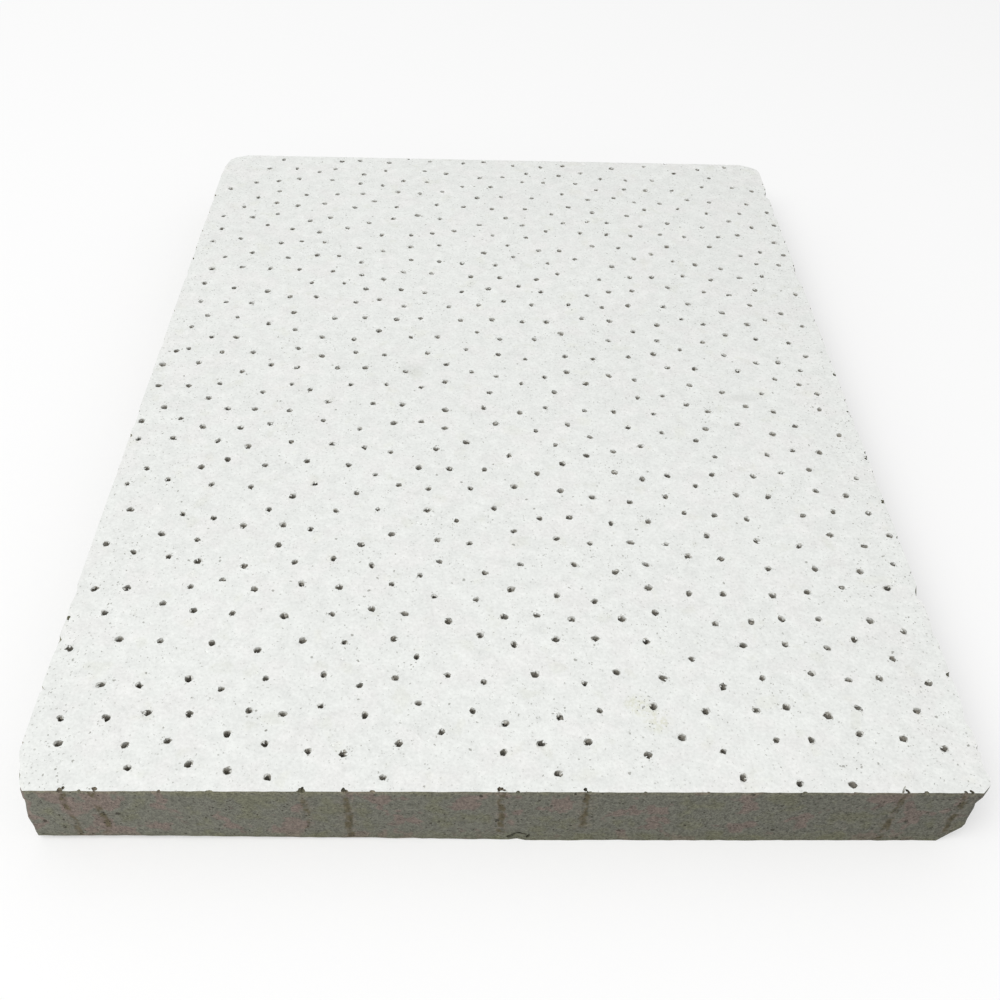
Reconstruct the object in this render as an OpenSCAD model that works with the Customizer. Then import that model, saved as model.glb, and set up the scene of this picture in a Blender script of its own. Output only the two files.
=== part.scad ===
// Cut piece of a suspended ceiling tile: one mineral-fibre board, painted on its face and
// needled with small blind perforations. It lies on its back with the painted face up.
// Sizes are in millimetres. X runs across the front edge, Y from front to back, Z up from
// the back of the board to its face. The origin is under the middle of the board.

/* [Board] */
// Width of the piece along its front edge
tile_w = 150; // [110:1:220]
// Length of the piece from its front edge to its back edge
tile_l = 200; // [140:1:280]
// Thickness of the board from its back to its painted face
tile_t = 15; // [10:0.5:25]

/* [Worn corners] */
// Wear of the front left corner along the front edge
front_left_across = 0.8; // [0.5:0.1:8]
// Wear of the front left corner along the left side
front_left_along = 4; // [0.5:0.1:20]
// Wear of the front right corner along the front edge
front_right_across = 1.9; // [0.5:0.1:8]
// Wear of the front right corner along the right side
front_right_along = 16; // [0.5:0.1:20]
// Wear of the back right corner along the back edge
back_right_across = 5; // [0.5:0.1:12]
// Wear of the back right corner along the right side
back_right_along = 9; // [0.5:0.1:20]
// Wear of the back left corner along the back edge
back_left_across = 6; // [0.5:0.1:12]
// Wear of the back left corner along the left side
back_left_along = 10; // [0.5:0.1:20]
// Straight steps in the curve of each worn corner
corner_steps = 8; // [3:1:16]

/* [Knocks] */
// Break at the lower front right corner, measured along the front edge
break_across = 2.4; // [1:0.1:6]
// The same break, measured along the right side
break_along = 5; // [1:0.1:15]
// The same break, measured up from the back
break_up = 4.6; // [1:0.1:8]
// Slant across the front left corner, measured on the face along the front edge
slant_across = 2.5; // [1:0.1:6]
// The same slant, measured on the face along the left side
slant_along = 5; // [3:0.1:20]
// The same slant, measured on the back along the front edge
slant_foot = 0.9; // [0:0.1:3]
// Wear of the lower front edge at its left end, measured up from the back
foot_wear = 1.3; // [0.3:0.1:3]
// Length of that wear, which runs out to the right
foot_run = 85; // [40:1:100]
// Radius of the hollow chipped out of the lower front edge
chip_r = 2.2; // [1:0.1:3]
// Depth of that hollow behind the front edge
chip_depth = 0.55; // [0.3:0.05:1]
// Place of that hollow along the front edge, from its middle
chip_x = 2.3; // [-40:0.1:40]
// Height of the middle of that hollow above the back
chip_up = 0.9; // [0:0.1:2]

/* [Perforations] */
// Diameter of a perforation
hole_d = 1.45; // [0.8:0.05:2]
// Board left whole under the longest needles
back_wall = 2.2; // [1:0.1:5]
// Difference in length from one set of needles to the next
needle_step = 1.1; // [0.2:0.1:2]
// Spacing of the needles in a row
needle_pitch = 7.3; // [6:0.1:14]
// Farthest that a needle strays from its place in the row, each way
needle_stray = 2.7; // [0:0.1:3]
// Distance under which neighbouring perforations are moved apart
hole_room = 6.2; // [3:0.1:7]
// Share of the missing distance that each of the two moves
room_share = 0.45; // [0.1:0.05:0.5]
// Starting number of the scatter
scatter_seed = 11; // [1:1:999]

/* [Cut edges] */
// Thinnest board that stays standing between a perforation and a cut edge
edge_wall = 0.5; // [0.3:0.1:2]
// Share of a perforation's radius within which the cut opens it into a groove
open_share = 0.7; // [0.2:0.05:0.8]
// Places along the front edge, from its middle, where the cut opens a perforation
front_grooves = [-67, -62.2, -31, -24.5, -0.7, 12.2, 61, 70.9]; // [-71:0.1:71]
// How far behind the front edge those perforations stand
groove_inset = 0.25; // [0:0.05:0.4]
// Least distance from those perforations to any other
groove_room = 4.6; // [3:0.1:7]

/* [Hidden] */
half_w = tile_w / 2;
half_l = tile_l / 2;
hole_r = hole_d / 2;
// Rows stand closer than the pitch, so that each needle has six neighbours about as far off
row_pitch = needle_pitch * sqrt(3) / 2;
// The needled field runs this far past the cut edges
field_over = needle_pitch;
row_count = ceil((tile_l + 2 * field_over) / row_pitch);
column_count = ceil((tile_w + 2 * field_over) / needle_pitch);
// Side of the board across, side along, wear across and wear along, anticlockwise
corners = [
    [-1, -1, front_left_across, front_left_along],
    [1, -1, front_right_across, front_right_along],
    [1, 1, back_right_across, back_right_along],
    [-1, 1, back_left_across, back_left_along]
];

// Sum of a list of points
function total(points) = [for (p = points) 1] * points;

// Place of one worn corner's point on a curve that leaves both edges smoothly
function corner_point(corner, t) =
    let (on_side = [corner[0] * half_w, corner[1] * (half_l - corner[3])])
    let (on_end = [corner[0] * (half_w - corner[2]), corner[1] * half_l])
    let (tip = [corner[0] * half_w, corner[1] * half_l])
    let (first = corner[0] * corner[1] > 0 ? on_side : on_end)
    let (last = corner[0] * corner[1] > 0 ? on_end : on_side)
    (1 - t) * (1 - t) * first + 2 * t * (1 - t) * tip + t * t * last;

// Needle places in staggered rows, each strayed at random
function strayed_places() =
    let (n = row_count * column_count)
    let (stray = rands(-needle_stray, needle_stray, 2 * n, scatter_seed))
    [
        for (row = [0 : row_count - 1], column = [0 : column_count - 1])
            let (i = 2 * (row * column_count + column))
            let (stagger = row % 2 == 0 ? -0.25 : 0.25)
            [
                (column - (column_count - 1) / 2 + stagger) * needle_pitch + stray[i],
                (row - (row_count - 1) / 2) * row_pitch + stray[i + 1]
            ]
    ];

// One place, moved away from every neighbour that stands too near
function moved_apart(p, places) =
    p + total([
        [0, 0],
        for (q = places)
            let (gap = norm(p - q))
            if (gap > 0 && gap < hole_room) (p - q) / gap * (hole_room - gap) * room_share
    ]);

// Board between a place and the nearest of the left, right and back edges
function edge_distance(p) = min(half_w - abs(p[0]), half_l - p[1]);

// True where a place lies on the stretch that a worn corner has lost or thinned
function at_corner(p) =
    len([
        for (c = corners)
            if (c[0] * p[0] > half_w - c[2] - edge_wall - hole_d && c[1] * p[1] > half_l - c[3])
                c
    ]) > 0;

// Perforations that the front cut has opened
function front_places() =
    [
        for (x = front_grooves)
            if (abs(x) < half_w - max(front_left_across, front_right_across) - hole_d)
                [x, groove_inset - half_l]
    ];

// True where a scattered place gives a sound hole, or a groove well open to a cut edge
function is_kept(p, front) =
    let (edge = edge_distance(p))
    let (whole = edge > hole_r + edge_wall)
    let (opened = abs(edge) < open_share * hole_r)
    let (clear_of_front = p[1] + half_l > hole_r + edge_wall)
    let (clear_of_grooves = min([for (q = front) norm(p - q)]) > groove_room)
    (whole || opened) && clear_of_front && clear_of_grooves && !at_corner(p);

// All perforations of the piece
function perforations() =
    let (strayed = strayed_places())
    let (front = front_places())
    let (scattered = [for (p = strayed) moved_apart(p, strayed)])
    concat(front, [for (p = scattered) if (is_kept(p, front)) p]);

// The board as it was cut, with its corners worn round
module board() {
    linear_extrude(height = tile_t)
        polygon([
            for (c = corners, i = [0 : corner_steps])
                corner_point(c, i / corner_steps)
        ]);
}

// The holes of one of three sets of needles, longest first
module needle_set(places, set) {
    translate([0, 0, back_wall + set * needle_step])
        linear_extrude(height = tile_t)
            for (i = [set : 3 : len(places) - 1])
                translate(places[i])
                    circle(d = hole_d, $fn = 24);
}

// All that lies beyond a plane through the origin, on the side that its normal points to
module beyond_plane(normal, reach) {
    turn = atan2(normal[1], normal[0]);
    lift = asin(normal[2] / norm(normal));
    rotate([0, -lift, turn])
        translate([0, -reach, -reach])
            cube([reach, 2 * reach, 2 * reach]);
}

// Everything past the break at the lower front right corner
module corner_break() {
    translate([half_w - front_right_across - break_across, -half_l, 0])
        beyond_plane([1 / break_across, -1 / break_along, -1 / break_up], 2 * tile_t);
}

// Everything past the slant across the front left corner, wider on the face than on the back
module corner_slant() {
    normal = [-slant_along * tile_t, -slant_across * tile_t, slant_along * (slant_across - slant_foot)];
    translate([slant_across - half_w, -half_l, tile_t])
        beyond_plane(normal, 2 * (slant_along + tile_t));
}

// Everything under the worn stretch of the lower front edge
module worn_foot() {
    translate([foot_run - half_w, -half_l, 0])
        beyond_plane([-foot_wear / foot_run, -1, -1], 1.2 * foot_run);
}

// Shallow hollow chipped out of the lower front edge
module edge_chip() {
    translate([chip_x, chip_depth - chip_r - half_l, chip_up])
        sphere(r = chip_r, $fn = 48);
}

// The whole board: painted face up, perforations open to the face and to the cut edges
module ceiling_tile() {
    places = perforations();
    color([0.93, 0.94, 0.92])
        difference() {
            board();
            needle_set(places, 0);
            needle_set(places, 1);
            needle_set(places, 2);
            corner_break();
            corner_slant();
            worn_foot();
            edge_chip();
        }
}

ceiling_tile();
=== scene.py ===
"""Looks of a cut piece of suspended ceiling tile: a needled mineral-fibre board with a painted face.

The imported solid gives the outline, the worn corners and the place of every perforation. The board is
laid as a fine grid, fitted to that solid, roughened, and then pierced with ragged needle holes.
"""

import math
import random

import bpy
import numpy as np
from mathutils import Matrix, Vector
from mathutils.bvhtree import BVHTree


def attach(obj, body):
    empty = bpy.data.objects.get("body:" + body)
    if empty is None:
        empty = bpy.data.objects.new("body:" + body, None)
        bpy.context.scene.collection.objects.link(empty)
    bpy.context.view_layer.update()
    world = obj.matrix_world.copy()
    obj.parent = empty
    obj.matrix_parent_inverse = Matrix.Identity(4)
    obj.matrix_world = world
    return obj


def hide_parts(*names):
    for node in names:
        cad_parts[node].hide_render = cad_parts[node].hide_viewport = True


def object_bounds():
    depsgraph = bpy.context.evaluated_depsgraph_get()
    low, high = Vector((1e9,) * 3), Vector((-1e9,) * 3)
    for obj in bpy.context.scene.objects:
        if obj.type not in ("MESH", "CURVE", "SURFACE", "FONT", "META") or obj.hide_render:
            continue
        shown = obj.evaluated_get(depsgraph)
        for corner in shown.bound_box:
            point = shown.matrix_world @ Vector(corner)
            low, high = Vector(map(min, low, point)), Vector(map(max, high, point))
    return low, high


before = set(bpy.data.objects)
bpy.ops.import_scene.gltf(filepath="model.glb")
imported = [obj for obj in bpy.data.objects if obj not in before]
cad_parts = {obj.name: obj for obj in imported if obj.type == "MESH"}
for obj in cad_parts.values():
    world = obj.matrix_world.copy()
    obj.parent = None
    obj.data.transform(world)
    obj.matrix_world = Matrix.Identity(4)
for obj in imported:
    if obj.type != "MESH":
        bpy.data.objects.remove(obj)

bl_info = {
    "name": "Ceiling tile piece",
    "version": (1, 0, 0),
    "blender": (4, 5, 0),
    "location": "3D View > Sidebar > Ceiling tile",
    "description": "Dresses the packed ceiling tile with ragged perforations, cut edges and paint",
    "category": "Object",
}

MM = 0.001
NODE = "ceiling_tile"
SOLID_BOX = [list(corner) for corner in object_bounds()]
LOW, HIGH = (Vector(corner) for corner in SOLID_BOX)
# Order of the board's finishes on its faces
# The last finish, the dark torn fibre, is painted shade in the nicks and the hollow
PAINT, CUT, BORE, BACK, TORN_SHADE = range(5)
# Marks on the face: middle across and along, half width and half depth, in mm
STAIN = ((21.6, -84.2, 2.9, 2.6), (24.4, -87.2, 2.9, 2.9))
DUST = ((53.3, -95.6, 2.2, 1.4), (67, -7.9, 3.0, 2.0))
SMUDGES = ((52.3, -5.3, 4.5, 2.0), (-18.8, 3.0, 4.0, 3.0))
# Bits on the walls of the holes: setting for the share of holes that have one, least half width and
# least depth under the face in mm, and finish
WALL_BITS = (
    ("crumbs", 0.28, 0.15, BORE),
    ("flaps", 0.2, 0.04, BORE),
    ("flecks", 0.08, 0.01, PAINT),
    ("flecks", 0.14, 0.01, PAINT),
)
# Chips along the upper edges: share of the average number, and largest half width in mm
CHIPPED = {"front": (0.9, 0.6), "right": (2.2, 0.85), "left": (1.4, 0.7), "back": (0.6, 0.6)}
# Share of each edge's length that has chips, which keeps them off the corners
CHIPPED_SHARE = 0.93
# Depth of the bites in the left edge, as a share of those in the right edge
LEFT_SHARE = 0.5
# Level of the cloudy texture under which the left and right edges are bitten
BITE_LEVEL = 0.4


def linear(red, green, blue):
    """Shader colour of a colour as it is seen on a screen, each part from 0 to 255."""
    parts = (part / 255 for part in (red, green, blue))
    return tuple(p / 12.92 if p <= 0.04045 else ((p + 0.055) / 1.055) ** 2.4 for p in parts)


def length(name, description, default_mm):
    """A length property, given in millimetres and kept in metres."""
    return bpy.props.FloatProperty(
        name=name, description=description, default=default_mm * MM, min=0.0, precision=5,
        subtype="DISTANCE", unit="LENGTH")


def number(name, description, default):
    """A plain number property."""
    return bpy.props.FloatProperty(name=name, description=description, default=default)


def angle(name, description, degrees):
    """An angle property, given in degrees and kept in radians."""
    return bpy.props.FloatProperty(
        name=name, description=description, default=math.radians(degrees),
        subtype="ANGLE", unit="ROTATION")


def count(name, description, default):
    """A whole number property."""
    return bpy.props.IntProperty(name=name, description=description, default=default, min=0)


def colour(name, description, *seen):
    """A colour property, given as it is seen on a screen."""
    return bpy.props.FloatVectorProperty(
        name=name, description=description, default=(*linear(*seen), 1.0), size=4, subtype="COLOR",
        min=0.0, max=1.0)


class BoardSettings(bpy.types.PropertyGroup):
    """Grid and roughness of the board."""
    grid: length("Grid", "Spacing of the board's mesh", 1.4)
    peel: length("Paint relief", "Depth of the soft relief in the paint", 0.035)
    peel_grain: length("Paint grain", "Size of the soft relief in the paint", 2.4)
    saw: length("Cut relief", "Depth of the roughness of the cut edges", 0.1)
    saw_grain: length("Cut grain", "Size of the roughness of the cut edges", 1.3)
    ragged: length("Ragged right edge", "Depth of the bites in the right edge", 1.7)
    ragged_grain: length("Ragged grain", "Size of the bites in the right edge", 4.5)
    hollow_x: length("Hollow", "Place of the hollow along the front edge, from its middle", 2.3)
    crack_x: length("Crack", "Place of the crack in the paint at the front edge, from its middle", 60.9)
    seed: count("Seed", "Starting number of the random wear", 5)


class PerforationSettings(bpy.types.PropertyGroup):
    """Shape of the needle holes and of the small damage round them."""
    sides: count("Sides", "Corners round each hole", 10)
    mouth: number("Mouth", "Radius at the face, as a share of the solid's hole", 0.96)
    throat: number("Throat", "Radius under the paint, as a share of the solid's hole", 0.8)
    throat_depth: length("Throat depth", "Depth at which the hole is narrowed", 0.7)
    foot: number("Foot", "Radius at the foot, as a share of the solid's hole", 0.7)
    torn: length("Torn rim", "Random reach of the torn rim", 0.27)
    lean: angle("Lean", "Largest lean of a needle", 1.5)
    stretch: number("Stretch", "Random change of each hole's width, as a share", 0.2)
    flaps: number("Flaps", "Share of the holes that a flap of fibre partly closes", 0.5)
    crumbs: number("Crumbs", "Share of the holes with a crumb of fibre in them", 0.7)
    flecks: number("Flecks", "Share of the holes with a fleck of paint on the rim", 0.45)
    nick: length("Nick", "Half the size of a torn spot where a cut edge opened a hole", 0.42)
    nicks: count("Nicks", "Torn spots at each such hole", 3)
    pits: count("Pits", "Small pits in the paint", 260)
    chips: count("Chips", "Chips along each upper edge, on average", 14)


class FinishSettings(bpy.types.PropertyGroup):
    """Colours of the paint and of the bare fibre."""
    paint: colour("Paint", "White paint of the face", 234, 236, 233)
    speck: colour("Speck", "Specks and thin spots in the paint", 150, 150, 143)
    blush: colour("Blush", "Faint warm patches in the paint", 239, 235, 234)
    stain: colour("Stain", "Yellowish stain on the face", 198, 198, 156)
    fibre: colour("Fibre", "Bare fibre of the cut edges", 112, 112, 102)
    warm: colour("Warm patch", "Brownish patches in the fibre", 125, 110, 103)
    olive: colour("Olive patch", "Greenish patches in the fibre", 112, 112, 93)
    pore: colour("Pore", "Dark pores in the fibre", 56, 53, 45)
    # Painted light: far lighter than the cut fibre, so that the deep holes look less dark
    bore: colour("Bore", "Walls of the perforations", 166, 162, 152)
    crest: colour("Crest", "Paler fibre just under the paint", 134, 131, 108)
    drag: colour("Drag", "Fibre dragged along by a needle", 88, 81, 62)
    # Painted shade: the dark of the nicks and of the hollow under its overhang
    torn: colour("Torn", "Torn fibre in nicks, chips and hollows", 66, 64, 58)
    back: colour("Back", "Bare fibre of the back", 168, 163, 150)


class StageSettings(bpy.types.PropertyGroup):
    """Camera and light."""
    camera_at: bpy.props.FloatVectorProperty(
        name="Camera", description="Place of the camera", subtype="TRANSLATION", unit="LENGTH",
        default=(-0.0063, -0.18358, 0.16006))
    yaw: angle("Yaw", "Turn of the camera to the left", -2.37)
    pitch: angle("Pitch", "Tilt of the camera below the horizon", 44.72)
    roll: angle("Roll", "Roll of the camera", 2.266)
    lens: number("Lens", "Focal length in millimetres on a sensor 36 mm wide", 38.46)
    sky: number("Sky", "Strength of the even light from all round", 0.5)
    lamp: bpy.props.FloatProperty(
        name="Lamp", description="Power of the soft lamp", default=31.0, unit="POWER")
    lamp_at: bpy.props.FloatVectorProperty(
        name="Lamp place", description="Place of the soft lamp", subtype="TRANSLATION", unit="LENGTH",
        default=(-0.72, -0.9, 1.8))
    lamp_size: bpy.props.FloatProperty(
        name="Lamp size", description="Side of the soft lamp", default=1.6,
        subtype="DISTANCE", unit="LENGTH")
    glow: number("Floor glow", "Share of plain white in what the camera sees of the floor", 0.3)


def all_alone():
    """Leaves edit mode and deselects everything."""
    if bpy.context.object is not None and bpy.context.object.mode != "OBJECT":
        bpy.ops.object.mode_set(mode="OBJECT")
    bpy.ops.object.select_all(action="DESELECT")


def only(piece):
    """Selects one piece and makes it the active one."""
    all_alone()
    piece.select_set(True)
    bpy.context.view_layer.objects.active = piece


def points_of(mesh):
    """The mesh's vertices as an array with a row for each."""
    points = np.empty(len(mesh.vertices) * 3, np.float32)
    mesh.vertices.foreach_get("co", points)
    return points.reshape(-1, 3).astype(float)


def move_points(mesh, points):
    """Puts the mesh's vertices at these places."""
    mesh.vertices.foreach_set("co", points.astype(np.float32).ravel())
    mesh.update()


def select_points(piece, chosen):
    """In edit mode, selects the vertices that the array of truths names."""
    bpy.ops.object.mode_set(mode="EDIT")
    bpy.ops.mesh.select_mode(type="VERT")
    bpy.ops.mesh.select_all(action="DESELECT")
    bpy.ops.object.mode_set(mode="OBJECT")
    piece.data.vertices.foreach_set("select", np.asarray(chosen, bool))
    bpy.ops.object.mode_set(mode="EDIT")


def apply_modifier(piece, name):
    """Applies one modifier of a piece for good."""
    only(piece)
    bpy.ops.object.modifier_apply(modifier=name)


def perforations_of(solid):
    """Centre x, y, floor z and radius of every perforation, from the rings at the feet of the holes."""
    points = np.unique(np.round(points_of(solid.data), 7), axis=0)
    heights, members = np.unique(np.round(points[:, 2], 5), return_counts=True)
    found = []
    # A height that hundreds of points share is the foot of a set of needles
    for height in heights[members > 200]:
        if not LOW.z + MM < height < HIGH.z - MM:
            continue
        ring = points[np.abs(points[:, 2] - height) < 0.01 * MM][:, :2]
        while len(ring):
            near = np.hypot(*(ring - ring[0]).T) < 2.0 * MM
            arc, ring = ring[near], ring[~near]
            terms = np.column_stack([2 * arc, np.ones(len(arc))])
            x, y, rest = np.linalg.lstsq(terms, (arc ** 2).sum(1), rcond=None)[0]
            found.append((x, y, height, math.sqrt(rest + x * x + y * y)))
    return found


def closed(profile, reach):
    """Fills the dips in a profile that are narrower than twice the reach, such as grooves."""
    wide = np.pad(profile, 2 * reach, mode="edge")

    def sweep(values, pick):
        shifts = [np.roll(values, s) for s in range(-reach, reach + 1)]
        return pick(shifts, axis=0)

    return sweep(sweep(wide, np.max), np.min)[2 * reach:-2 * reach]


def fit_to_solid(board, solid, opened):
    """Brings the board's sides to the solid's, apart from the grooves that needles opened in them."""
    mesh = solid.data
    tree = BVHTree.FromPolygons([v.co for v in mesh.vertices], [p.vertices for p in mesh.polygons])
    points = points_of(board.data)
    skin = 0.03 * MM
    sides = (np.abs(points[:, 0]) > HIGH.x - skin) | (np.abs(points[:, 1]) > HIGH.y - skin)
    rows, row_of = np.unique(np.round(points[:, 1], 6), return_inverse=True)
    levels = np.linspace(LOW.z + skin, HIGH.z - skin, 12)
    for side in (-1, 1):
        reach = []
        for y in np.clip(rows, LOW.y + skin, HIGH.y - skin):
            hits = (tree.ray_cast(Vector((side, y, z)), Vector((-side, 0, 0)))[0] for z in levels)
            reach.append(max(side * hit.x for hit in hits))
        on_side = points[:, 0] * side > 0
        points[on_side, 0] *= (closed(np.array(reach), 2) / HIGH.x)[row_of][on_side]
    for x, y, floor, radius in opened:
        beside = np.hypot(points[:, 0] - x, points[:, 1] - y) < 2 * radius
        sides &= ~(beside & (points[:, 2] > floor))
    for i in np.flatnonzero(sides):
        place = Vector(points[i])
        spot, normal, _, _ = tree.find_nearest(place)
        if (place - spot).dot(normal) > 0:
            points[i] = spot
    move_points(board.data, points)


def lay_board(settings, solid, opened):
    """The board's blank: a fine grid for the face, drawn down for the edges and closed at the back."""
    size = HIGH - LOW
    steps = [max(2, round(side / settings.grid)) for side in size]
    all_alone()
    bpy.ops.mesh.primitive_grid_add(
        x_subdivisions=steps[0], y_subdivisions=steps[1], size=1, location=(0, 0, HIGH.z))
    board = bpy.context.object
    board.name = "needled_board"
    board.scale = (size.x, size.y, 1)
    bpy.ops.object.transform_apply(location=True, rotation=True, scale=True)
    bpy.ops.object.mode_set(mode="EDIT")
    bpy.ops.mesh.select_all(action="SELECT")
    bpy.ops.mesh.region_to_loop()
    for _ in range(steps[2]):
        bpy.ops.mesh.extrude_region_move(
            TRANSFORM_OT_translate={"value": (0, 0, -size.z / steps[2])})
    bpy.ops.mesh.edge_face_add()
    bpy.ops.mesh.select_all(action="SELECT")
    bpy.ops.mesh.normals_make_consistent(inside=False)
    bpy.ops.object.mode_set(mode="OBJECT")
    fit_to_solid(board, solid, opened)
    return board


def group(piece, name, chosen):
    """A vertex group of the vertices that the array of truths names."""
    made = piece.vertex_groups.new(name=name)
    made.add([int(i) for i in np.flatnonzero(chosen)], 1.0, "REPLACE")
    return made


def press(board, name, group_name, direction, depth, grain, layers, middle=1.0):
    """Presses cloudy roughness into a group of vertices. Values under the middle go inwards."""
    grainy = bpy.data.textures.new(name, "CLOUDS")
    grainy.noise_scale = grain
    grainy.noise_depth = layers
    grainy.contrast = 2.2
    rough = board.modifiers.new(name, "DISPLACE")
    rough.texture = grainy
    rough.texture_coords = "LOCAL"
    rough.vertex_group = group_name
    rough.direction = direction
    rough.strength = depth
    rough.mid_level = middle
    apply_modifier(board, name)
    bpy.data.textures.remove(grainy)


def roughen(board, settings):
    """Paint relief on the face, saw marks on the edges, and bites in the left and right edges."""
    points = points_of(board.data)
    normals = np.empty(len(points) * 3, np.float32)
    board.data.vertices.foreach_get("normal", normals)
    normals = normals.reshape(-1, 3)
    group(board, "face", points[:, 2] > HIGH.z - 0.2 * settings.grid)
    group(board, "foot", points[:, 2] < LOW.z + 0.2 * settings.grid)
    press(board, "paint relief", "face", "Z", settings.peel, settings.peel_grain, 2)
    press(board, "worn foot", "foot", "Z", -settings.saw, settings.saw_grain, 2)
    for axis, column, sign in (("X", 0, 1), ("X", 0, -1), ("Y", 1, 1), ("Y", 1, -1)):
        name = f"side {axis}{sign}"
        group(board, name, normals[:, column] * sign > 0.4)
        press(board, name, name, axis, sign * settings.saw, settings.saw_grain, 3)
        if axis == "X":
            ragged = settings.ragged if sign > 0 else LEFT_SHARE * settings.ragged
            press(
                board, f"ragged {name}", name, axis, sign * ragged, settings.ragged_grain, 3, BITE_LEVEL)
    board.vertex_groups.clear()
    move_points(board.data, np.clip(points_of(board.data), LOW, HIGH))


def nearest_edge(x, y):
    """Distance from a place to the nearest cut edge, and the direction out of the board there."""
    return min(
        (x - LOW.x, (-1, 0)), (HIGH.x - x, (1, 0)), (y - LOW.y, (0, -1)), (HIGH.y - y, (0, 1)))


def mark_needles(board, holes):
    """Stores how near each place is to a needle, and how far along the edge from it in mm."""
    points = points_of(board.data)
    near, across = np.zeros(len(points)), np.zeros(len(points))
    for x, y, floor, radius in holes:
        offset = points[:, :2] - (x, y)
        here = np.exp(-(np.hypot(*offset.T) / (1.6 * radius)) ** 2) * (points[:, 2] > floor - MM)
        along = offset[:, 1] if nearest_edge(x, y)[1][0] else offset[:, 0]
        across = np.where(here > near, along / MM, across)
        near = np.maximum(near, here)
    for name, values in (("needle", near), ("across", across)):
        stored = board.data.attributes.new(name, "FLOAT", "POINT")
        stored.data.foreach_set("value", values.astype(np.float32))


def finish_faces(board):
    """Gives the face, the cut edges and the back their own finishes."""
    normals = np.empty(len(board.data.polygons) * 3, np.float32)
    board.data.polygons.foreach_get("normal", normals)
    up = normals.reshape(-1, 3)[:, 2]
    finishes = np.where(up > 0.7, PAINT, np.where(up < -0.7, BACK, CUT)).astype(np.int32)
    board.data.polygons.foreach_set("material_index", finishes)


def stacked(sides, rings):
    """A closed round shape drawn downwards through rings, each given as its height and radius."""
    top, first = rings[0]
    all_alone()
    bpy.ops.mesh.primitive_circle_add(
        vertices=sides, radius=first, fill_type="NGON", location=(0, 0, top))
    shape = bpy.context.object
    bpy.ops.object.transform_apply(location=True)
    bpy.ops.object.mode_set(mode="EDIT")
    bpy.ops.mesh.select_all(action="SELECT")
    for (height, radius), (above, wider) in zip(rings[1:], rings):
        bpy.ops.mesh.extrude_region_move(TRANSFORM_OT_translate={"value": (0, 0, height - above)})
        bpy.ops.transform.resize(value=(radius / wider, radius / wider, 1))
    bpy.ops.mesh.select_all(action="SELECT")
    bpy.ops.mesh.normals_make_consistent(inside=False)
    bpy.ops.object.mode_set(mode="OBJECT")
    return shape


def needle(settings, radius, depth):
    """The hole that one needle leaves, from just above the face down to its foot, face at height 0."""
    return stacked(settings.sides, (
        (0.8 * MM, radius * settings.mouth * 1.1),
        (0.0, radius * settings.mouth),
        (-0.3 * settings.throat_depth, radius * settings.throat),
        (-settings.throat_depth, radius * settings.throat),
        (-depth, radius * settings.foot)))


def joined(pieces, name):
    """Joins pieces into one, with its place in its mesh."""
    all_alone()
    for piece in pieces:
        piece.select_set(True)
    bpy.context.view_layer.objects.active = pieces[0]
    bpy.ops.object.transform_apply(location=True, rotation=True, scale=True)
    bpy.ops.object.join()
    pieces[0].name = name
    return pieces[0]


def copies(original, places):
    """Copies of a shape, each with its own mesh, at places given as location, rotation and scale."""
    made = []
    for location, rotation, scale in places:
        twin = original.copy()
        twin.data = original.data.copy()
        twin.location = location
        twin.rotation_euler = rotation
        twin.scale = scale
        bpy.context.scene.collection.objects.link(twin)
        made.append(twin)
    return made


def discard(piece):
    """Removes a helper and its mesh."""
    mesh = piece.data
    bpy.data.objects.remove(piece)
    bpy.data.meshes.remove(mesh)


def shake(piece, chosen, reach, seed):
    """Moves the chosen vertices at random, by up to the reach."""
    only(piece)
    select_points(piece, chosen)
    bpy.ops.transform.vertex_random(offset=reach, uniform=0.0, normal=0.0, seed=seed)
    bpy.ops.object.mode_set(mode="OBJECT")


def needle_holes(settings, holes, draw):
    """All perforations as one shape, each leaning, stretched and torn in its own way."""
    made = []
    for floor in sorted({round(hole[2], 5) for hole in holes}):
        set_of = [hole for hole in holes if abs(hole[2] - floor) < 0.01 * MM]
        one = needle(settings, set_of[0][3], HIGH.z - floor)
        lean = settings.lean
        low, high = 1 - settings.stretch, 1 + settings.stretch
        made += copies(one, [
            (
                (x, y, HIGH.z),
                (draw.uniform(-lean, lean), draw.uniform(-lean, lean), draw.uniform(0, math.tau)),
                (draw.uniform(low, high), draw.uniform(low, high), 1),
            )
            for x, y, _, _ in set_of])
        discard(one)
    holes_shape = joined(made, "needle_holes")
    heights = points_of(holes_shape.data)[:, 2]
    shake(holes_shape, heights > HIGH.z - 0.3 * MM, settings.torn, 3)
    deeper = (heights < HIGH.z - 0.3 * MM) & (heights > HIGH.z - 2 * settings.throat_depth)
    shake(holes_shape, deeper, settings.torn * 0.7, 4)
    return holes_shape


def crumb(radius, rounds):
    """A rough little lump, the shape of a pit or chip."""
    all_alone()
    bpy.ops.mesh.primitive_ico_sphere_add(subdivisions=rounds, radius=radius)
    return bpy.context.object


def edge_nicks(settings, holes, draw):
    """A torn spot at the mouth of each hole that a cut edge ran through."""
    one = crumb(1.0, 2)
    places = []
    for x, y, _, radius in holes:
        gap, (out_x, out_y) = nearest_edge(x, y)
        aside, inside = draw.uniform(-0.8, 0.8) * radius, draw.uniform(0.0, 0.8) * radius
        wide = settings.nick * draw.uniform(0.6, 1.2)
        places.append((
            (x + out_x * (gap - inside) + out_y * aside, y + out_y * (gap - inside) + out_x * aside,
             HIGH.z - draw.uniform(-0.2, 0.6) * wide),
            (draw.uniform(0, 3), draw.uniform(0, 3), draw.uniform(0, 3)),
            (wide, wide * draw.uniform(0.5, 0.9), wide * draw.uniform(0.7, 1.3))))
    nicks = joined(copies(one, places), "edge_nicks")
    discard(one)
    shake(nicks, np.ones(len(nicks.data.vertices)), 0.3 * settings.nick, 9)
    return nicks


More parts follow.
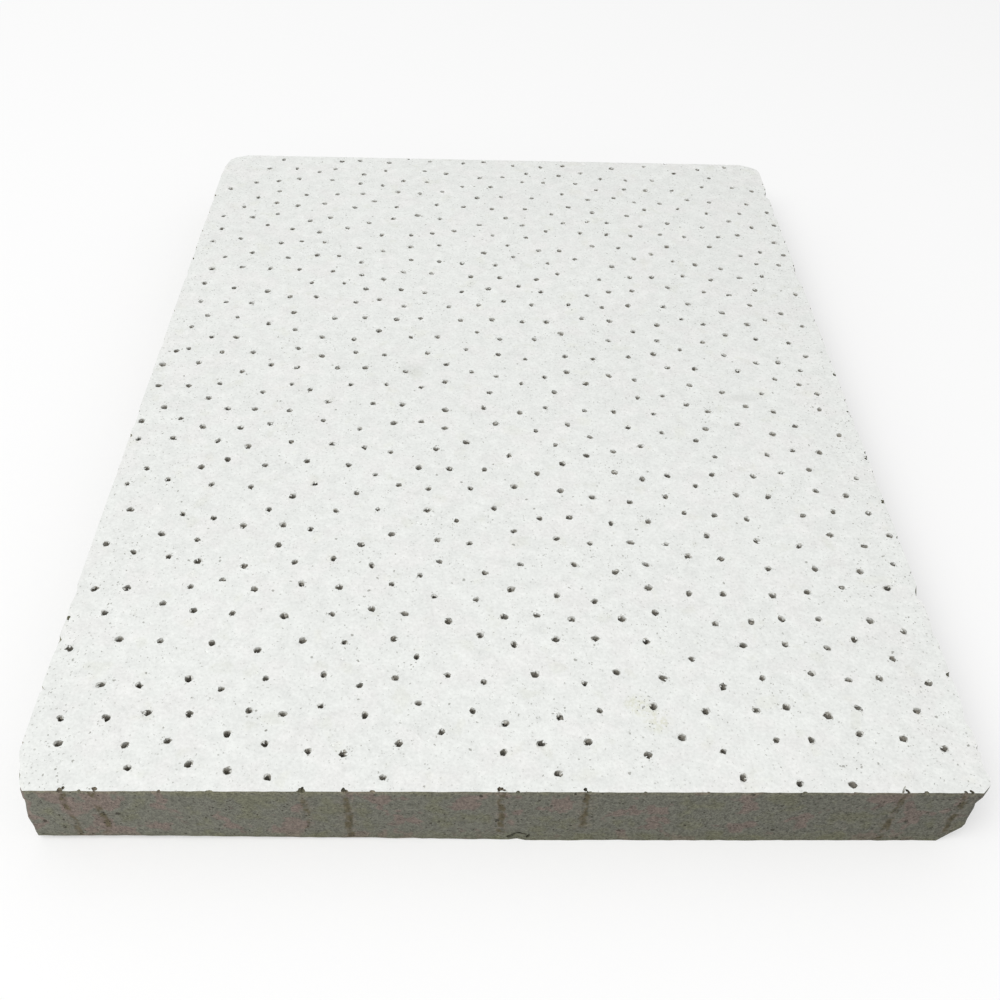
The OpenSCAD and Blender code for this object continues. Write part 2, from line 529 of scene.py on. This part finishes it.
def paint_crack(settings):
    """A short crack in the paint that runs to the front edge."""
    place = (settings.crack_x, LOW.y + 0.55 * MM, HIGH.z)
    turn = (0, 0, math.radians(60))
    size = (0.9 * MM, 0.17 * MM, 0.35 * MM)
    one = crumb(1.0, 2)
    crack = joined(copies(one, [(place, turn, size)]), "paint_crack")
    discard(one)
    shake(crack, np.ones(len(crack.data.vertices)), 0.06 * MM, 2)
    return crack


def wall_crumbs(holes, share, smallest, depth, draw):
    """Crumbs that reach from the walls into a share of the holes, at least a depth under the face."""
    one = crumb(1.0, 1)
    places = []
    for x, y, _, radius in holes:
        if draw.random() > share or nearest_edge(x, y)[0] < 3 * radius:
            continue
        turn = draw.uniform(0, math.tau)
        wide = smallest * draw.uniform(1, 2)
        down = wide + depth * draw.uniform(1, 6)
        places.append((
            (x + radius * math.cos(turn), y + radius * math.sin(turn), HIGH.z - down),
            (0, 0, turn),
            (max(wide, radius * draw.uniform(0.3, 0.9)), wide, wide * draw.uniform(0.6, 1.0))))
    crumbs = joined(copies(one, places), "wall_crumbs")
    discard(one)
    return crumbs


def hollow_rim(settings, draw):
    """Broken rim that arches over the hollow in the lower front edge. The dark finish it is cut with is
    painted shade of the hollow.
    """
    across, up, foot = 1.7 * MM, 1.5 * MM, 0.5 * MM
    one = crumb(1.0, 2)
    places = []
    for step in range(1, 6):
        turn = math.pi * step / 6
        thick = draw.uniform(0.8, 1.2) * (0.18 + 0.06 * step) * MM
        places.append((
            (settings.hollow_x + across * math.cos(turn), LOW.y + 0.1 * MM,
             LOW.z + foot + up * math.sin(turn)),
            (0, turn - math.pi / 2 + draw.uniform(-0.3, 0.3), 0),
            (draw.uniform(0.45, 0.65) * MM, 1.2 * MM, thick)))
    rim = joined(copies(one, places), "hollow_rim")
    discard(one)
    shake(rim, np.ones(len(rim.data.vertices)), 0.1 * MM, 7)
    return rim


def free_spots(wanted, taken, room, pick):
    """Random spots from pick that keep their room from the taken ones and from each other."""
    kept = []
    held = np.array(taken)
    while len(kept) < wanted:
        spot = pick()
        if np.hypot(*(held - spot[:2]).T).min() > room:
            kept.append(spot)
            held = np.vstack([held, spot[:2]])
    return kept


def paint_pits(settings, holes, draw):
    """Small pits in the paint, clear of the perforations and of the edges."""
    inset = 3 * MM

    def pick():
        return (
            draw.uniform(LOW.x + inset, HIGH.x - inset), draw.uniform(LOW.y + inset, HIGH.y - inset))

    one = crumb(1.0, 1)
    made = []
    for x, y in free_spots(settings.pits, [hole[:2] for hole in holes], 1.5 * MM, pick):
        wide = draw.uniform(0.12, 0.3) * MM
        made.append((
            (x, y, HIGH.z + 0.4 * wide),
            (draw.uniform(0, 3), draw.uniform(0, 3), draw.uniform(0, 3)),
            (wide * draw.uniform(0.8, 1.6), wide, wide)))
    pits = joined(copies(one, made), "paint_pits")
    discard(one)
    return pits


def edge_chips(settings, draw):
    """Chips broken out of the upper edges, most of them on the right."""
    one = crumb(1.0, 2)
    spots = []
    for edge, (part, largest) in CHIPPED.items():
        number_here = round(settings.chips * part)
        for i in range(number_here):
            along = 2 * CHIPPED_SHARE * (i + draw.uniform(0.1, 0.9)) / number_here - CHIPPED_SHARE
            wide = draw.uniform(0.4, 1.0) * largest * MM
            spots.append({
                "front": (along * HIGH.x, LOW.y, 0, -1, wide),
                "back": (along * HIGH.x, HIGH.y, 0, 1, wide),
                "left": (LOW.x, along * HIGH.y, -1, 0, wide),
                "right": (HIGH.x, along * HIGH.y, 1, 0, wide),
            }[edge])
    made = []
    for x, y, out_x, out_y, wide in spots:
        off = 0.45 * wide
        made.append((
            (x + out_x * off, y + out_y * off, HIGH.z + draw.uniform(-0.2, 0.4) * wide),
            (draw.uniform(0, 3), draw.uniform(0, 3), draw.uniform(0, 3)),
            (wide * draw.uniform(0.9, 1.9), wide, wide * draw.uniform(0.7, 1.2))))
    chips = joined(copies(one, made), "edge_chips")
    discard(one)
    shake(chips, np.ones(len(chips.data.vertices)), 0.12 * MM, 6)
    return chips


def combine(board, operation, shape, finish):
    """Cuts a shape out of the board or adds it. The new walls get the finish of that number."""
    shape.data.materials.clear()
    for material in board.data.materials:
        shape.data.materials.append(material)
    finishes = np.full(len(shape.data.polygons), finish, np.int32)
    shape.data.polygons.foreach_set("material_index", finishes)
    knife = board.modifiers.new("combine", "BOOLEAN")
    knife.operation = operation
    knife.solver = "MANIFOLD"
    knife.object = shape
    apply_modifier(board, "combine")
    discard(shape)


class Wire:
    """A shader socket that takes part in Python sums by adding Math nodes."""

    def __init__(self, graph, socket):
        self.graph = graph
        self.socket = socket

    def other(self, out):
        """Another output of the node that this socket is on."""
        return Wire(self.graph, self.socket.node.outputs[out])

    def math(self, operation, first, second):
        """A Math node of two sockets or numbers."""
        return self.graph.node("ShaderNodeMath", {"operation": operation}, {0: first, 1: second})

    def __add__(self, other):
        return self.math("ADD", self, other)

    def __radd__(self, other):
        return self.math("ADD", other, self)

    def __sub__(self, other):
        return self.math("SUBTRACT", self, other)

    def __rsub__(self, other):
        return self.math("SUBTRACT", other, self)

    def __mul__(self, other):
        return self.math("MULTIPLY", self, other)

    def __rmul__(self, other):
        return self.math("MULTIPLY", other, self)

    def __truediv__(self, other):
        return self.math("DIVIDE", self, other)

    def __rtruediv__(self, other):
        return self.math("DIVIDE", other, self)

    def __pow__(self, other):
        return self.math("POWER", self, other)

    def __gt__(self, other):
        return self.math("GREATER_THAN", self, other)

    def __lt__(self, other):
        return self.math("LESS_THAN", self, other)


class Graph:
    """A node tree whose nodes are written as expressions."""

    def __init__(self, tree):
        self.tree = tree

    def node(self, kind, settings, sockets, out=0):
        """Any node: its settings are set first, then its sockets get their values or links."""
        made = self.tree.nodes.new(kind)
        for key, value in settings.items():
            setattr(made, key, value)
        for key, value in sockets.items():
            if isinstance(value, Wire):
                self.tree.links.new(value.socket, made.inputs[key])
            else:
                made.inputs[key].default_value = value
        return Wire(self, made.outputs[out])

    def seen(self):
        """1 for what is seen, itself or in glossy and clear things, and 0 for light on other things."""
        camera = self.node("ShaderNodeLightPath", {}, {}, "Is Camera Ray")
        return camera + camera.other("Is Glossy Ray") + camera.other("Is Transmission Ray")

    def output(self, share, first, second, name):
        """Ends the tree with a mix of two shaders."""
        mixed = self.node("ShaderNodeMixShader", {}, {0: share, 1: first, 2: second})
        self.tree.links.new(mixed.socket, self.tree.nodes[name].inputs["Surface"])


class Finish(Graph):
    """A material. Places are in millimetres on the piece."""

    def __init__(self, name):
        self.material = bpy.data.materials.new(name)
        self.material.use_nodes = True
        super().__init__(self.material.node_tree)
        self.shader = self.tree.nodes["Principled BSDF"]
        here = self.node("ShaderNodeTexCoord", {}, {}, "Object")
        self.place = self.node(
            "ShaderNodeVectorMath", {"operation": "SCALE"}, {0: here, "Scale": 1 / MM})
        self.x = self.node("ShaderNodeSeparateXYZ", {}, {0: self.place}, "X")
        self.y, self.z = self.x.other("Y"), self.x.other("Z")

    def stretched(self, x, y, z):
        """The place, measured in units of these sizes along the three axes."""
        return self.node(
            "ShaderNodeVectorMath", {"operation": "DIVIDE"}, {0: self.place, 1: (x, y, z)})

    def noise(self, size, detail=2.0, rough=0.5, place=None):
        """Cloudy noise from 0 to 1 with lumps of about this size."""
        return self.node(
            "ShaderNodeTexNoise", {},
            {"Vector": place or self.place, "Scale": 1.0 if place else 1 / size, "Detail": detail,
             "Roughness": rough})

    def bent(self, size, reach, place=None):
        """The place, pushed about at random by up to this reach."""
        place = place or self.place
        push = self.node(
            "ShaderNodeTexNoise", {}, {"Vector": place, "Scale": 1 / size, "Detail": 2.0}, "Color")
        push = self.node(
            "ShaderNodeVectorMath", {"operation": "SUBTRACT"}, {0: push, 1: (0.5, 0.5, 0.5)})
        push = self.node(
            "ShaderNodeVectorMath", {"operation": "SCALE"}, {0: push, "Scale": 2 * reach})
        return self.node("ShaderNodeVectorMath", {"operation": "ADD"}, {0: place, 1: push})

    def rise(self, value, low, high):
        """0 below low, 1 above high and smooth between."""
        return self.node(
            "ShaderNodeMapRange", {"interpolation_type": "SMOOTHSTEP"},
            {"Value": value, "From Min": low, "From Max": high, "To Min": 0.0, "To Max": 1.0})

    def blend(self, share, first, second):
        """A mix of two colours."""
        return self.node("ShaderNodeMix", {"data_type": "RGBA"}, {0: share, 6: first, 7: second}, 2)

    def shade(self, tint, tone):
        """A colour made lighter or darker by a number that changes over the surface."""
        return self.node("ShaderNodeVectorMath", {"operation": "SCALE"}, {0: tint, "Scale": tone})

    def specks(self, size, share, radius, place=None):
        """Small specks of up to this radius, in a share of cells of this size."""
        far = self.node(
            "ShaderNodeTexVoronoi", {}, {"Vector": place or self.place, "Scale": 1 / size}, "Distance")
        chance = self.node("ShaderNodeSeparateColor", {}, {0: far.other("Color")}, "Red")
        wide = (0.4 + 0.6 * self.rise(chance, 1 - share, 1.0)) * radius
        return self.rise(wide - far * size, -0.05, 0.05) * (chance > 1 - share)

    def spot(self, x, y, wide, deep):
        """A soft patch on the face round one place."""
        far = ((self.x - x) / wide) ** 2 + ((self.y - y) / deep) ** 2
        return 1 - self.rise(far, 0.0, 1.0)

    def spots(self, marks):
        """Soft patches on the face, each given as its middle, half width and half depth."""
        first, *others = (self.spot(*mark) for mark in marks)
        return sum(others, first)

    def done(self, tint, roughness, height, **plain):
        """Links colour, roughness and relief to the shader, and sets its plain sockets."""
        relief = self.node(
            "ShaderNodeBump", {}, {"Strength": 1.0, "Distance": MM, "Height": height}, "Normal")
        for name, value in (("Base Color", tint), ("Roughness", roughness), ("Normal", relief)):
            self.tree.links.new(value.socket, self.shader.inputs[name])
        for name, value in plain.items():
            self.shader.inputs[name.replace("_", " ")].default_value = value
        return self.material


def face_paint(colours):
    """Matt white paint with a rough stipple, thin spots, specks and a small stain."""
    finish = Finish("face_paint")
    broad, lumps, grain = finish.noise(38), finish.noise(2.6, 4.0, 0.6), finish.noise(0.55, 3.0, 0.6)
    patch = finish.noise(8, 3.0, 0.6)
    # Faint warm and yellowish patches, and painted shade that darkens the paint to the right and to the
    # back
    tint = finish.blend(finish.rise(patch, 0.48, 0.62) * 0.25, colours.paint, colours.blush)
    tint = finish.blend(finish.rise(finish.noise(5, 2.0), 0.6, 0.7) * 0.08, tint, colours.stain)
    tone = 1.005 + 0.05 * (broad - 0.5) + 0.24 * (lumps - 0.5) + 0.3 * (grain - 0.5)
    # Painted shade: the paint darkens to the right and to the back, as the light falls off
    tone = tone - 0.02 * finish.rise(finish.x, -30, 70) - 0.01 * finish.rise(finish.y, -80, -20)
    tint = finish.shade(tint, tone)
    spill = finish.spots(STAIN)
    grit = finish.noise(0.7, 3.0, 0.7)
    tint = finish.blend(spill * finish.rise(grit, 0.4, 0.64) * 0.38, tint, colours.stain)
    # Specks crowd where the paint is thin, at the stain and the dust, round the holes and to the sides
    sides = finish.rise(finish.x ** 2, 58 ** 2, 74 ** 2)
    needle = finish.node("ShaderNodeAttribute", {"attribute_name": "needle"}, {}, "Fac")
    dust = finish.spots(DUST)
    thin = 1 - finish.rise(patch, 0.38, 0.47)
    crowd = 0.28 + 0.4 * thin + 0.7 * (spill + dust + needle) + 0.22 * sides
    torn = finish.bent(0.5, 0.35)
    speck = finish.specks(0.7, 0.014, 0.26, torn) * 0.75 + finish.specks(0.42, 0.24, 0.16, torn) * crowd
    tint = finish.blend(speck, tint, colours.speck)
    smudge = finish.spots(SMUDGES)
    tint = finish.blend(smudge * lumps * 0.25, tint, colours.speck)
    height = 0.16 * finish.noise(1.9, 3.0, 0.6) + 0.05 * grain
    return finish.done(tint, 0.84 + 0.1 * grain, height, Specular_IOR_Level=0.25)


def bare_fibre(name, colours, base, relief, damp):
    """Mineral fibre with brownish and olive patches, dark pores and faint layers.

    The share of olive towards the foot is called damp.
    """
    finish = Finish(name)
    patch = finish.noise(6, 3.0, 0.6)
    layers = finish.noise(1, 3.0, 0.6, place=finish.stretched(1.8, 1.8, 0.9))
    fine, felt = finish.noise(0.36, 2.0, 0.6), finish.noise(0.9, 3.0, 0.65)
    tint = finish.blend(finish.rise(patch, 0.54, 0.6) * 0.7, base, colours.warm)
    low = 1 - finish.rise(finish.z, 0.6, 3.6)
    tint = finish.blend((1 - finish.rise(patch, 0.36, 0.48)) * 0.7 + damp * low, tint, colours.olive)
    crest = finish.rise(finish.z + 2 * (felt - 0.5), HIGH.z / MM - 1.3, HIGH.z / MM - 0.2)
    tint = finish.blend(crest * 0.4, tint, colours.crest)
    needle = finish.node("ShaderNodeAttribute", {"attribute_name": "needle"}, {}, "Fac")
    across = finish.node("ShaderNodeAttribute", {"attribute_name": "across"}, {}, "Fac")
    # Wavering streaks under the needles that the cut opened
    stray = across + 1.4 * (finish.noise(2.4, 2.0) - 0.5)
    drag = (1 - finish.rise(stray ** 2, 0.0, 0.5)) * finish.rise(needle, 0.2, 0.6)
    drag = drag * finish.rise(finish.noise(1.9, 2.0), 0.34, 0.6)
    tint = finish.blend(needle * finish.rise(felt, 0.4, 0.6) * 0.4, tint, colours.warm)
    tint = finish.blend(drag * 0.9, tint, colours.drag)
    # The term in x is painted shade: the fibre darkens towards the right end, as the light falls off
    tone = 1 + 0.3 * (layers - 0.5) + 1.5 * (fine - 0.5) + 0.9 * (felt - 0.5) - 0.0021 * finish.x
    tint = finish.shade(tint, tone)
    torn = finish.bent(0.4, 0.3)
    small, large = finish.specks(0.5, 0.17, 0.19, torn), finish.specks(1.3, 0.05, 0.4, torn)
    tint = finish.blend(small * (0.75 + drag) + large * 0.8, tint, colours.pore)
    height = relief * (0.25 * layers + 0.35 * fine + 0.3 * felt)
    return finish.done(tint, 0.9 + 0.1 * fine, height, Specular_IOR_Level=0.15)


def bore_wall(colours):
    """Wall of a perforation: bare fibre below, in a colour lightened as painted light, and dragged paint
    near the face.
    """
    finish = Finish("bore_wall")
    fine = finish.noise(0.4, 3.0, 0.6)
    face = HIGH.z / MM
    drag = finish.rise(finish.z + 1.8 * (finish.noise(0.6, 2.0) - 0.5), face - 0.6, face - 0.1)
    tint = finish.shade(finish.blend(drag * 0.65, colours.bore, colours.paint), 1 + 0.8 * (fine - 0.5))
    return finish.done(tint, 0.9 + 0.1 * fine, 0.2 * fine, Specular_IOR_Level=0.15)


class TILE_OT_board(bpy.types.Operator):
    """Make the needled board with its painted face, cut edges and perforations"""
    bl_idname = "tile.board"
    bl_label = "Needled board"

    def execute(self, context):
        scene = context.scene
        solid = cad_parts[NODE]
        draw = random.Random(scene.tile_board.seed)
        holes = perforations_of(solid)
        if not holes:
            raise RuntimeError("The packed solid has no perforations")
        whole = [hole for hole in holes if nearest_edge(*hole[:2])[0] > hole[3]]
        opened = [hole for hole in holes if hole not in whole]
        board = lay_board(scene.tile_board, solid, opened)
        roughen(board, scene.tile_board)
        mark_needles(board, holes)
        colours = scene.tile_finish
        for material in (
                face_paint(colours),
                bare_fibre("cut_fibre", colours, colours.fibre, 1.0, 0.5),
                bore_wall(colours),
                bare_fibre("back_fibre", colours, colours.back, 0.6, 0.0),
                bare_fibre("torn_fibre", colours, colours.torn, 1.0, 0.5)):
            board.data.materials.append(material)
        finish_faces(board)
        needles = scene.tile_holes
        combine(board, "DIFFERENCE", needle_holes(needles, whole, draw), BORE)
        # The nicks and the hollow's rim get the dark torn fibre, which is painted shade of these
        # recesses
        for _ in range(needles.nicks):
            combine(board, "DIFFERENCE", edge_nicks(needles, opened, draw), TORN_SHADE)
        combine(board, "DIFFERENCE", hollow_rim(scene.tile_board, draw), TORN_SHADE)
        combine(board, "DIFFERENCE", paint_crack(scene.tile_board), BORE)
        for setting, smallest, depth, finish in WALL_BITS:
            share = getattr(needles, setting)
            bits = wall_crumbs(whole, share, smallest * MM, depth * MM, draw)
            combine(board, "UNION", bits, finish)
        combine(board, "DIFFERENCE", paint_pits(needles, holes, draw), PAINT)
        combine(board, "DIFFERENCE", edge_chips(needles, draw), CUT)
        only(board)
        bpy.ops.object.shade_smooth_by_angle(angle=math.radians(40))
        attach(board, "root")
        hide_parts(NODE)
        return {"FINISHED"}


def camera_turn(settings):
    """Rotation of the camera from its yaw, pitch and roll."""
    turn = Matrix.Rotation(settings.yaw, 3, "Z")
    tilt = Matrix.Rotation(math.pi / 2 - settings.pitch, 3, "X")
    roll = Matrix.Rotation(settings.roll, 3, "Z")
    return (turn @ tilt @ roll).to_4x4()


class TILE_OT_stage(bpy.types.Operator):
    """Set the floor, the light and the camera"""
    bl_idname = "tile.stage"
    bl_label = "Stage"

    def execute(self, context):
        settings = context.scene.tile_stage
        all_alone()
        bpy.ops.mesh.primitive_plane_add(size=4, location=(0, 0, LOW.z))
        floor = context.object
        floor.name = "floor"
        floor.data.materials.append(self.floor_finish(settings))
        bpy.ops.object.light_add(type="AREA", location=settings.lamp_at)
        lamp = context.object
        lamp.data.energy = settings.lamp
        lamp.data.size = settings.lamp_size
        lamp.rotation_euler = (-lamp.location).to_track_quat("-Z", "Y").to_euler()
        bpy.ops.object.camera_add(location=settings.camera_at)
        camera = context.object
        camera.matrix_world = Matrix.Translation(settings.camera_at) @ camera_turn(settings)
        camera.data.lens = settings.lens
        camera.data.sensor_width = 36
        camera.data.clip_start = 0.005
        context.scene.camera = camera
        world = bpy.data.worlds.new("even_light")
        world.use_nodes = True
        context.scene.world = world
        sky = Graph(world.node_tree)
        even, white = (
            sky.node("ShaderNodeBackground", {}, {"Color": (1, 1, 1, 1), "Strength": strength})
            for strength in (settings.sky, 1.0))
        sky.output(sky.seen(), even, white, "World Output")
        context.scene.view_settings.view_transform = "Standard"
        return {"FINISHED"}

    def floor_finish(self, settings):
        """White floor that keeps the shadow. What the camera sees of it is part plain white."""
        finish = Finish("floor_white")
        finish.shader.inputs["Base Color"].default_value = (0.99, 0.99, 0.99, 1)
        finish.shader.inputs["Roughness"].default_value = 1.0
        finish.shader.inputs["Specular IOR Level"].default_value = 0.0
        white = finish.node("ShaderNodeEmission", {}, {"Strength": 1.0})
        lit = Wire(finish, finish.shader.outputs[0])
        finish.output(finish.seen() * settings.glow, lit, white, "Material Output")
        return finish.material


class TILE_PT_sidebar(bpy.types.Panel):
    """Lists the settings and the steps of the tile"""
    bl_idname = "TILE_PT_sidebar"
    bl_label = "Ceiling tile"
    bl_space_type = "VIEW_3D"
    bl_region_type = "UI"
    bl_category = "Ceiling tile"

    def draw(self, context):
        layout = self.layout
        for owner, step in SECTIONS:
            box = layout.box()
            for name in owner.__annotations__:
                box.prop(getattr(context.scene, HOLDERS[owner]), name)
            if step:
                box.operator(step.bl_idname)


HOLDERS = {
    BoardSettings: "tile_board",
    PerforationSettings: "tile_holes",
    FinishSettings: "tile_finish",
    StageSettings: "tile_stage",
}
SECTIONS = (
    (BoardSettings, None), (PerforationSettings, None), (FinishSettings, TILE_OT_board),
    (StageSettings, TILE_OT_stage))
CLASSES = (*HOLDERS, TILE_OT_board, TILE_OT_stage, TILE_PT_sidebar)


def register():
    """Registers the classes and gives the scene their settings."""
    for made in CLASSES:
        bpy.utils.register_class(made)
    for owner, holder in HOLDERS.items():
        setattr(bpy.types.Scene, holder, bpy.props.PointerProperty(type=owner))


def unregister():
    """Takes the settings and the classes away again."""
    for holder in HOLDERS.values():
        delattr(bpy.types.Scene, holder)
    for made in reversed(CLASSES):
        bpy.utils.unregister_class(made)


def main():
    """Registers the settings and makes the board and the stage."""
    register()
    bpy.ops.tile.board()
    bpy.ops.tile.stage()


if __name__ == "__main__":
    main()
